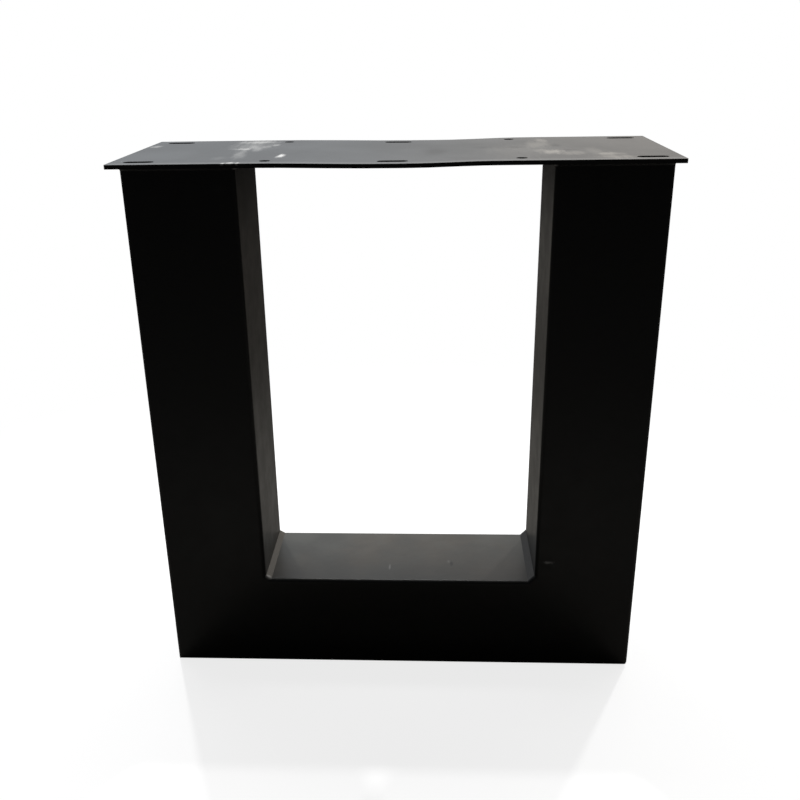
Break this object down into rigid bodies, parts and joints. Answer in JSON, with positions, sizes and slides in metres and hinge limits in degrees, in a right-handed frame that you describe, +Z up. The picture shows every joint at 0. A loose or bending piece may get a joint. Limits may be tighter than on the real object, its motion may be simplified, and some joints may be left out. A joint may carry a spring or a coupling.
{
  "type": "u shaped table leg",
  "caption": "Black welded U of square steel hollow section with a slotted flat plate across its top, used as one end of a table.",
  "frame": {"origin": "on the floor, under the middle of the floor rail", "axes": "+X along the floor rail, +Y from the front face to the back face, +Z up towards the table top"},
  "size_m": [0.66, 0.25, 0.722],
  "materials": {
    "black_powder_coat": "satin black powder coat over steel",
    "black_plate_coat": "satin black powder coat, dusty and scuffed on top"
  },
  "bodies": {
    "root": {"left_upright": "black_powder_coat", "right_upright": "black_powder_coat", "floor_rail": "black_powder_coat", "top_plate": "black_plate_coat", "left_corner_weld": "black_powder_coat", "right_corner_weld": "black_powder_coat", "left_plate_weld": "black_powder_coat", "right_plate_weld": "black_powder_coat"}
  },
  "joints": []
}
